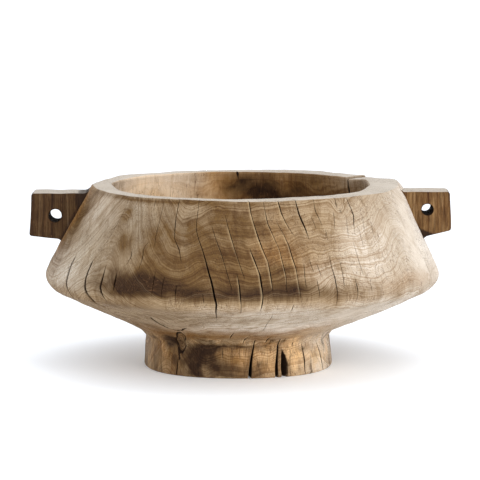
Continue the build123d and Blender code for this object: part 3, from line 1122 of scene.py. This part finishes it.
class Graph:
    """Short calls that add nodes to one material and join them."""

    def __init__(self, name):
        self.material = bpy.data.materials.new(name)
        self.material.use_nodes = True
        self.tree = self.material.node_tree
        self.shader = self.tree.nodes["Principled BSDF"]

    def node(self, kind, **settings):
        node = self.tree.nodes.new("ShaderNode" + kind)
        for key, value in settings.items():
            setattr(node, key, value)
        return node

    def put(self, socket, value):
        if isinstance(value, bpy.types.NodeSocket):
            self.tree.links.new(value, socket)
        else:
            socket.default_value = value

    def fill(self, node, **values):
        for key, value in values.items():
            self.put(node.inputs[key], value)

    def value(self, name):
        return self.node("Attribute", attribute_name=name).outputs["Fac"]

    def vector(self, name):
        return self.node("Attribute", attribute_name=name).outputs["Vector"]

    def math(self, operation, a, b=0.0, c=0.0, clamp=False):
        node = self.node("Math", operation=operation, use_clamp=clamp)
        for socket, value in zip(node.inputs, (a, b, c)):
            self.put(socket, value)
        return node.outputs[0]

    def times(self, a, b, clamp=False):
        return self.math("MULTIPLY", a, b, clamp=clamp)

    def plus_times(self, base, value, gain):
        return self.math("MULTIPLY_ADD", value, gain, base)

    def swing(self, value, gain, base):
        """base where value is a half, more or less by gain times the rest."""
        return self.plus_times(base, self.math("SUBTRACT", value, 0.5), gain)

    def stretched(self, vector, along):
        node = self.node("VectorMath", operation="MULTIPLY")
        self.put(node.inputs[0], vector)
        node.inputs[1].default_value = (1.0, 1.0, along)
        return node.outputs[0]

    def noise(self, vector, scale, detail=3.0, rough=0.55, distortion=0.0):
        node = self.node("TexNoise", noise_dimensions="3D")
        self.put(node.inputs["Vector"], vector)
        self.fill(node, Scale=scale, Detail=detail, Roughness=rough, Distortion=distortion)
        return node.outputs["Fac"]

    def lines(self, position, scale, detail, rough):
        node = self.node("TexNoise", noise_dimensions="1D")
        self.put(node.inputs["W"], position)
        self.fill(node, Scale=scale, Detail=detail, Roughness=rough)
        return node.outputs["Fac"]

    def remap(self, value, low, high):
        """0 at low and 1 at high, with a smooth rise between."""
        node = self.node("MapRange", interpolation_type="SMOOTHSTEP")
        self.fill(node, **{"Value": value, "From Min": low, "From Max": high})
        return node.outputs["Result"]

    def mix(self, amount, a, b, blend="MIX"):
        node = self.node("Mix", data_type="RGBA", blend_type=blend)
        self.put(node.inputs["Factor"], amount)
        self.put(node.inputs[6], a)
        self.put(node.inputs[7], b)
        return node.outputs[2]

    def darker(self, amount, colour, tint):
        return self.mix(amount, colour, self.mix(1.0, colour, linear(*tint), "MULTIPLY"))

    def lighter(self, amount, colour, tint):
        return self.mix(amount, colour, self.mix(1.0, colour, linear(*tint), "SCREEN"))


def figure(g):
    """The wood's patterns: its growth rings, and noises drawn out along the fibres."""
    fibre = g.vector("fibre")
    found = {
        "fibre": fibre,
        "mottle": g.noise(fibre, 0.045, 5.0, 0.62),
        "fine": g.noise(g.stretched(fibre, 0.06), 0.75, 4.0, 0.65),
        "broad": g.noise(g.stretched(fibre, 0.2), 0.07, 4.0, 0.6, 0.8),
        "grit": g.noise(fibre, 0.9, 3.0, 0.6),
    }
    ring = g.swing(g.noise(fibre, 0.07, 3.0, 0.5), 4.5, g.value("ring"))
    ring = g.plus_times(ring, found["fine"], 0.9)
    found["growth"] = g.lines(ring, 0.05, 7.0, 0.78)
    found["hairs"] = g.lines(ring, 0.62, 2.0, 0.6)
    return found


def toned(g, seen, patches, blotches, blotch_shape):
    """The broad tones laid over plain tan, patchy with the mottle and the rings."""
    patchy = g.swing(seen["mottle"], 1.1 * patches, 1.0)
    patchy = g.swing(seen["growth"], 0.9 / patches, patchy)
    even = g.plus_times(1.0, g.math("SUBTRACT", patchy, 1.0), 0.3)

    def laid(colour, tone, amount, share=patchy):
        return g.mix(g.times(amount, share, clamp=True), colour, COLOURS[tone])

    colour = COLOURS["tan"]
    for tone in ("grey", "cream", "gold", "honey"):
        colour = laid(colour, tone, g.value(tone), even if tone == "cream" else patchy)
    if blotches:
        stretch, scale = blotch_shape
        blotch = g.noise(g.stretched(seen["fibre"], stretch), scale, 4.0, 0.6, 0.6)
        colour = laid(colour, "honey", g.times(g.remap(blotch, 0.47, 0.34), 0.7 * blotches))
        colour = laid(colour, "umber", g.times(g.remap(blotch, 0.50, 0.66), blotches))
    for tone in ("brown", "umber"):
        colour = laid(colour, tone, g.value(tone))
    return colour


def grained(g, colour, seen, streaks, rings):
    """Dark and light rings, streaks along the fibre and pores, fainter where the wood is calm."""
    calm = g.plus_times(1.0, g.value("calm"), -0.8)
    half_calm = g.plus_times(1.0, g.value("calm"), -0.6)
    dark_growth = g.times(g.remap(seen["growth"], 0.46, 0.66), calm)
    colour = g.darker(g.times(dark_growth, 0.7 * rings), colour, (196, 176, 148))
    light_growth = g.remap(seen["growth"], 0.46, 0.30)
    colour = g.lighter(g.times(light_growth, 0.4 * rings), colour, (86, 76, 62))
    layers = [
        ("hairs", 0.42, 0.66, calm, 0.7 * rings, (186, 164, 134)),
        ("broad", 0.45, 0.68, calm, 0.7 * streaks, (186, 166, 134)),
        ("fine", 0.48, 0.70, half_calm, 0.55 * streaks, (186, 164, 134)),
        ("grit", 0.50, 0.72, 1.0, 0.30, (182, 158, 126)),
    ]
    for pattern, low, high, share, amount, tint in layers:
        shown = g.times(g.remap(seen[pattern], low, high), share)
        colour = g.darker(g.times(shown, amount), colour, tint)
    return colour


def bleached(g, colour, seen):
    """Grey-white weathering on the faces that look up."""
    up = g.node("SeparateXYZ")
    g.put(up.inputs[0], g.node("NewGeometry").outputs["Normal"])
    amount = g.times(g.remap(up.outputs["Z"], 0.82, 0.97), g.value("sun"))
    pale = g.darker(g.times(g.remap(seen["grit"], 0.45, 0.7), 0.3), COLOURS["bleach"], (196, 176, 156))
    return g.mix(amount, colour, pale)


def checked(g, colour, seen):
    """Hairline checks along the fibre, each with a pale edge where no stain covers it."""
    across = g.math("SUBTRACT", g.noise(g.stretched(seen["fibre"], 0.035), 0.33, 2.0, 0.5), 0.5)
    where = g.remap(g.noise(seen["fibre"], 0.022, 2.0), 0.38, 0.54)
    checks = g.times(g.remap(g.math("ABSOLUTE", across), 0.018, 0.004), where)
    beside = g.remap(g.math("ABSOLUTE", g.math("SUBTRACT", across, 0.035)), 0.022, 0.006)
    unstained = g.math("MULTIPLY_ADD", g.value("umber"), -1.0, 1.0, clamp=True)
    unstained = g.math("SUBTRACT", unstained, g.times(g.value("brown"), 0.8), clamp=True)
    beside = g.times(g.times(beside, where), g.times(unstained, 0.45))
    colour = g.lighter(beside, colour, (110, 96, 76))
    return g.mix(g.times(checks, 0.75), colour, COLOURS["check"]), checks


def cracked(g, colour):
    """Painted highlights on crack lips, and pale bruises, where the crack mark is below 0; where it is
    above, painted shade in cracks, splits, lug holes and at lug roots, and the dark groove, rim and heart
    of the knot.
    """
    # Painted highlight on the crack lips, and the pale of the bruises.
    lip_highlight_and_bruise = g.times(g.remap(g.value("crack"), -0.25, -1.0), 0.8)
    colour = g.lighter(lip_highlight_and_bruise, colour, (128, 110, 84))
    # Painted shade in the cracks, splits and lug holes and at the lug roots, and the knot's dark groove,
    # rim and heart.
    crack = g.remap(g.value("crack"), 0.0, 0.45)
    return g.mix(crack, colour, COLOURS["crack"]), crack


def wood(name, streaks=1.0, rings=1.0, patches=1.0, blotches=0.0, blotch_shape=(0.4, 0.09)):
    """Weathered wood, with how strong its streaks, rings, patches and blotches are."""
    g = Graph(name)
    seen = figure(g)
    colour = toned(g, seen, patches, blotches, blotch_shape)
    colour = grained(g, colour, seen, streaks, rings)
    colour = bleached(g, colour, seen)
    colour, checks = checked(g, colour, seen)
    colour, crack = cracked(g, colour)
    g.put(g.shader.inputs["Base Color"], colour)

    rough = g.swing(seen["fine"], 0.35, ROUGHNESS)
    g.put(g.shader.inputs["Roughness"], g.math("MAXIMUM", rough, g.times(crack, 0.95)))
    g.shader.inputs["Specular IOR Level"].default_value = SHINE

    relief = g.plus_times(g.times(seen["fine"], -0.9), seen["hairs"], -0.5)
    relief = g.plus_times(relief, seen["growth"], -0.7)
    relief = g.plus_times(relief, checks, -0.8)
    bump = g.node("Bump")
    g.fill(bump, Strength=BUMP_STRENGTH, Distance=BUMP_HEIGHT, Height=relief)
    g.put(g.shader.inputs["Normal"], bump.outputs["Normal"])
    return g.material


# ---- the stage ----

FLOOR_COLOUR = (0.93, 0.945, 0.96, 1)
FLOOR_GLOW = 0.11
FLOOR_HALF = 12.0


def make_floor():
    """A wide pale matt floor at the resting plane. Its faint glow lifts the shadow a little."""
    h = FLOOR_HALF
    mesh = bpy.data.meshes.new("Floor")
    mesh.from_pydata([(-h, -h, 0), (h, -h, 0), (h, h, 0), (-h, h, 0)], [], [(0, 1, 2, 3)])
    material = bpy.data.materials.new("floor_white")
    material.use_nodes = True
    shader = material.node_tree.nodes["Principled BSDF"]
    shader.inputs["Base Color"].default_value = FLOOR_COLOUR
    shader.inputs["Roughness"].default_value = 0.9
    shader.inputs["Emission Color"].default_value = FLOOR_COLOUR
    shader.inputs["Emission Strength"].default_value = FLOOR_GLOW
    mesh.materials.append(material)
    placed("Floor", mesh)


def softbox(name, place, aim, size, power):
    """A square area light at place that points at aim."""
    lamp = bpy.data.lights.new(name, "AREA")
    lamp.shape = "SQUARE"
    lamp.size = size
    lamp.energy = power
    thing = placed(name, lamp)
    way = Vector(aim) - Vector(place)
    thing.location = place
    thing.rotation_euler = way.to_track_quat("-Z", "Y").to_euler()


def make_lights():
    """A soft key from the front right, one from above, a fill from the left, and a pale room."""
    world = bpy.data.worlds.new("Studio")
    world.use_nodes = True
    background = world.node_tree.nodes["Background"]
    background.inputs["Color"].default_value = (0.97, 1.0, 1.05, 1)
    background.inputs["Strength"].default_value = 1.09
    bpy.context.scene.world = world
    softbox("Key", (1.3, -2.1, 1.05), (0, 0, 0.12), 0.9, 28)
    softbox("Top", (0.3, 0.2, 2.2), (0, 0, 0.1), 1.6, 10)
    softbox("Front", (-0.9, -2.5, 0.5), (0, 0, 0.06), 1.4, 18)


def make_camera():
    """A long lens from the front, looking a little down."""
    camera = bpy.data.cameras.new("Camera")
    camera.sensor_width = 36.0
    camera.lens = 202.5
    camera.clip_end = 60
    thing = placed("Camera", camera)
    thing.location = (0, -3.2108, 0.5516)
    thing.rotation_euler = (math.radians(82.85), 0, 0)
    bpy.context.scene.camera = thing


body_wood = wood("BodyWood")
foot_wood = wood("FootWood", patches=2.4, blotches=0.6)
lug_wood = wood("LugWood", streaks=1.4, rings=1.3, blotches=0.6, blotch_shape=(0.08, 0.33))
knot_wood = wood("KnotWood")
make_body_and_foot(body_wood, foot_wood)
for lug in LUGS:
    make_lug(lug, lug_wood)
make_knot(knot_wood)
make_floor()
make_lights()
make_camera()
bpy.context.scene.view_settings.view_transform = "Standard"
